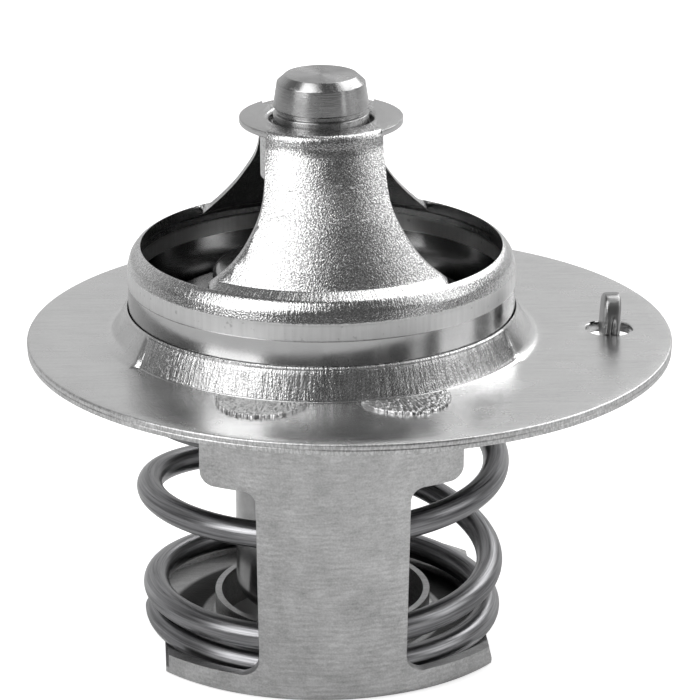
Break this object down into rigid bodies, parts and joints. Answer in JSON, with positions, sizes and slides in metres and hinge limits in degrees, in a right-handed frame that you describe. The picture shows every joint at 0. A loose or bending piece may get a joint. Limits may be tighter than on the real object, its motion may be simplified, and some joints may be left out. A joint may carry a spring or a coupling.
{
  "type": "engine thermostat",
  "caption": "Wax-driven coolant valve: off-centre collar in a round flange, arched bridge above, sprung disc and staked stirrup below, with a jiggle pin.",
  "frame": {"origin": "centre of the round flange, on its underside", "axes": "+Z along the valve's axis towards the bridge and the plug; +X from the flange's centre to the jiggle pin; the frames' legs stand front (-Y) and back (+Y)"},
  "size_m": [0.044, 0.044, 0.0399],
  "materials": {
    "flange_sheet": "satin pressed stainless sheet",
    "bridge_sheet": "bright drawn stainless sheet",
    "turned_steel": "turned, fine rings",
    "ground_steel": "ground and polished",
    "stirrup_sheet": "matt pressed stainless sheet",
    "spring_wire": "drawn wire with die lines",
    "element_metal": "drawn cup, satin",
    "guide_metal": "turned, satin",
    "black_rubber": "moulded, matt",
    "wax": "solid wax with metal powder",
    "disc_sheet": "pressed sheet, satin",
    "pin_metal": "pressed, satin"
  },
  "bodies": {
    "frame": {"flange": "flange_sheet", "upper_frame": "bridge_sheet", "piston_plug": "turned_steel", "piston": "ground_steel", "lower_frame": "stirrup_sheet", "main_spring": "spring_wire"},
    "valve": {"element_case": "element_metal", "rubber_boot": "black_rubber", "wax_charge": "wax", "element_guide": "guide_metal", "guide_seal": "black_rubber", "valve_disc": "disc_sheet", "valve_seal": "black_rubber", "disc_ring": "disc_sheet"},
    "jiggle_pin": {"jiggle_pin": "pin_metal"}
  },
  "joints": [
    {"name": "valve_lift", "type": "slide", "parent": "frame", "child": "valve", "axis": [0, 0, -1], "range_m": [0, 0.008], "stiffness_N_per_m": 800, "springref_m": -0.003, "deforming": ["main_spring"]},
    {"name": "pin_lift", "type": "slide", "parent": "frame", "child": "jiggle_pin", "axis": [0, 0, 1], "range_m": [0, 0.0015]}
  ]
}
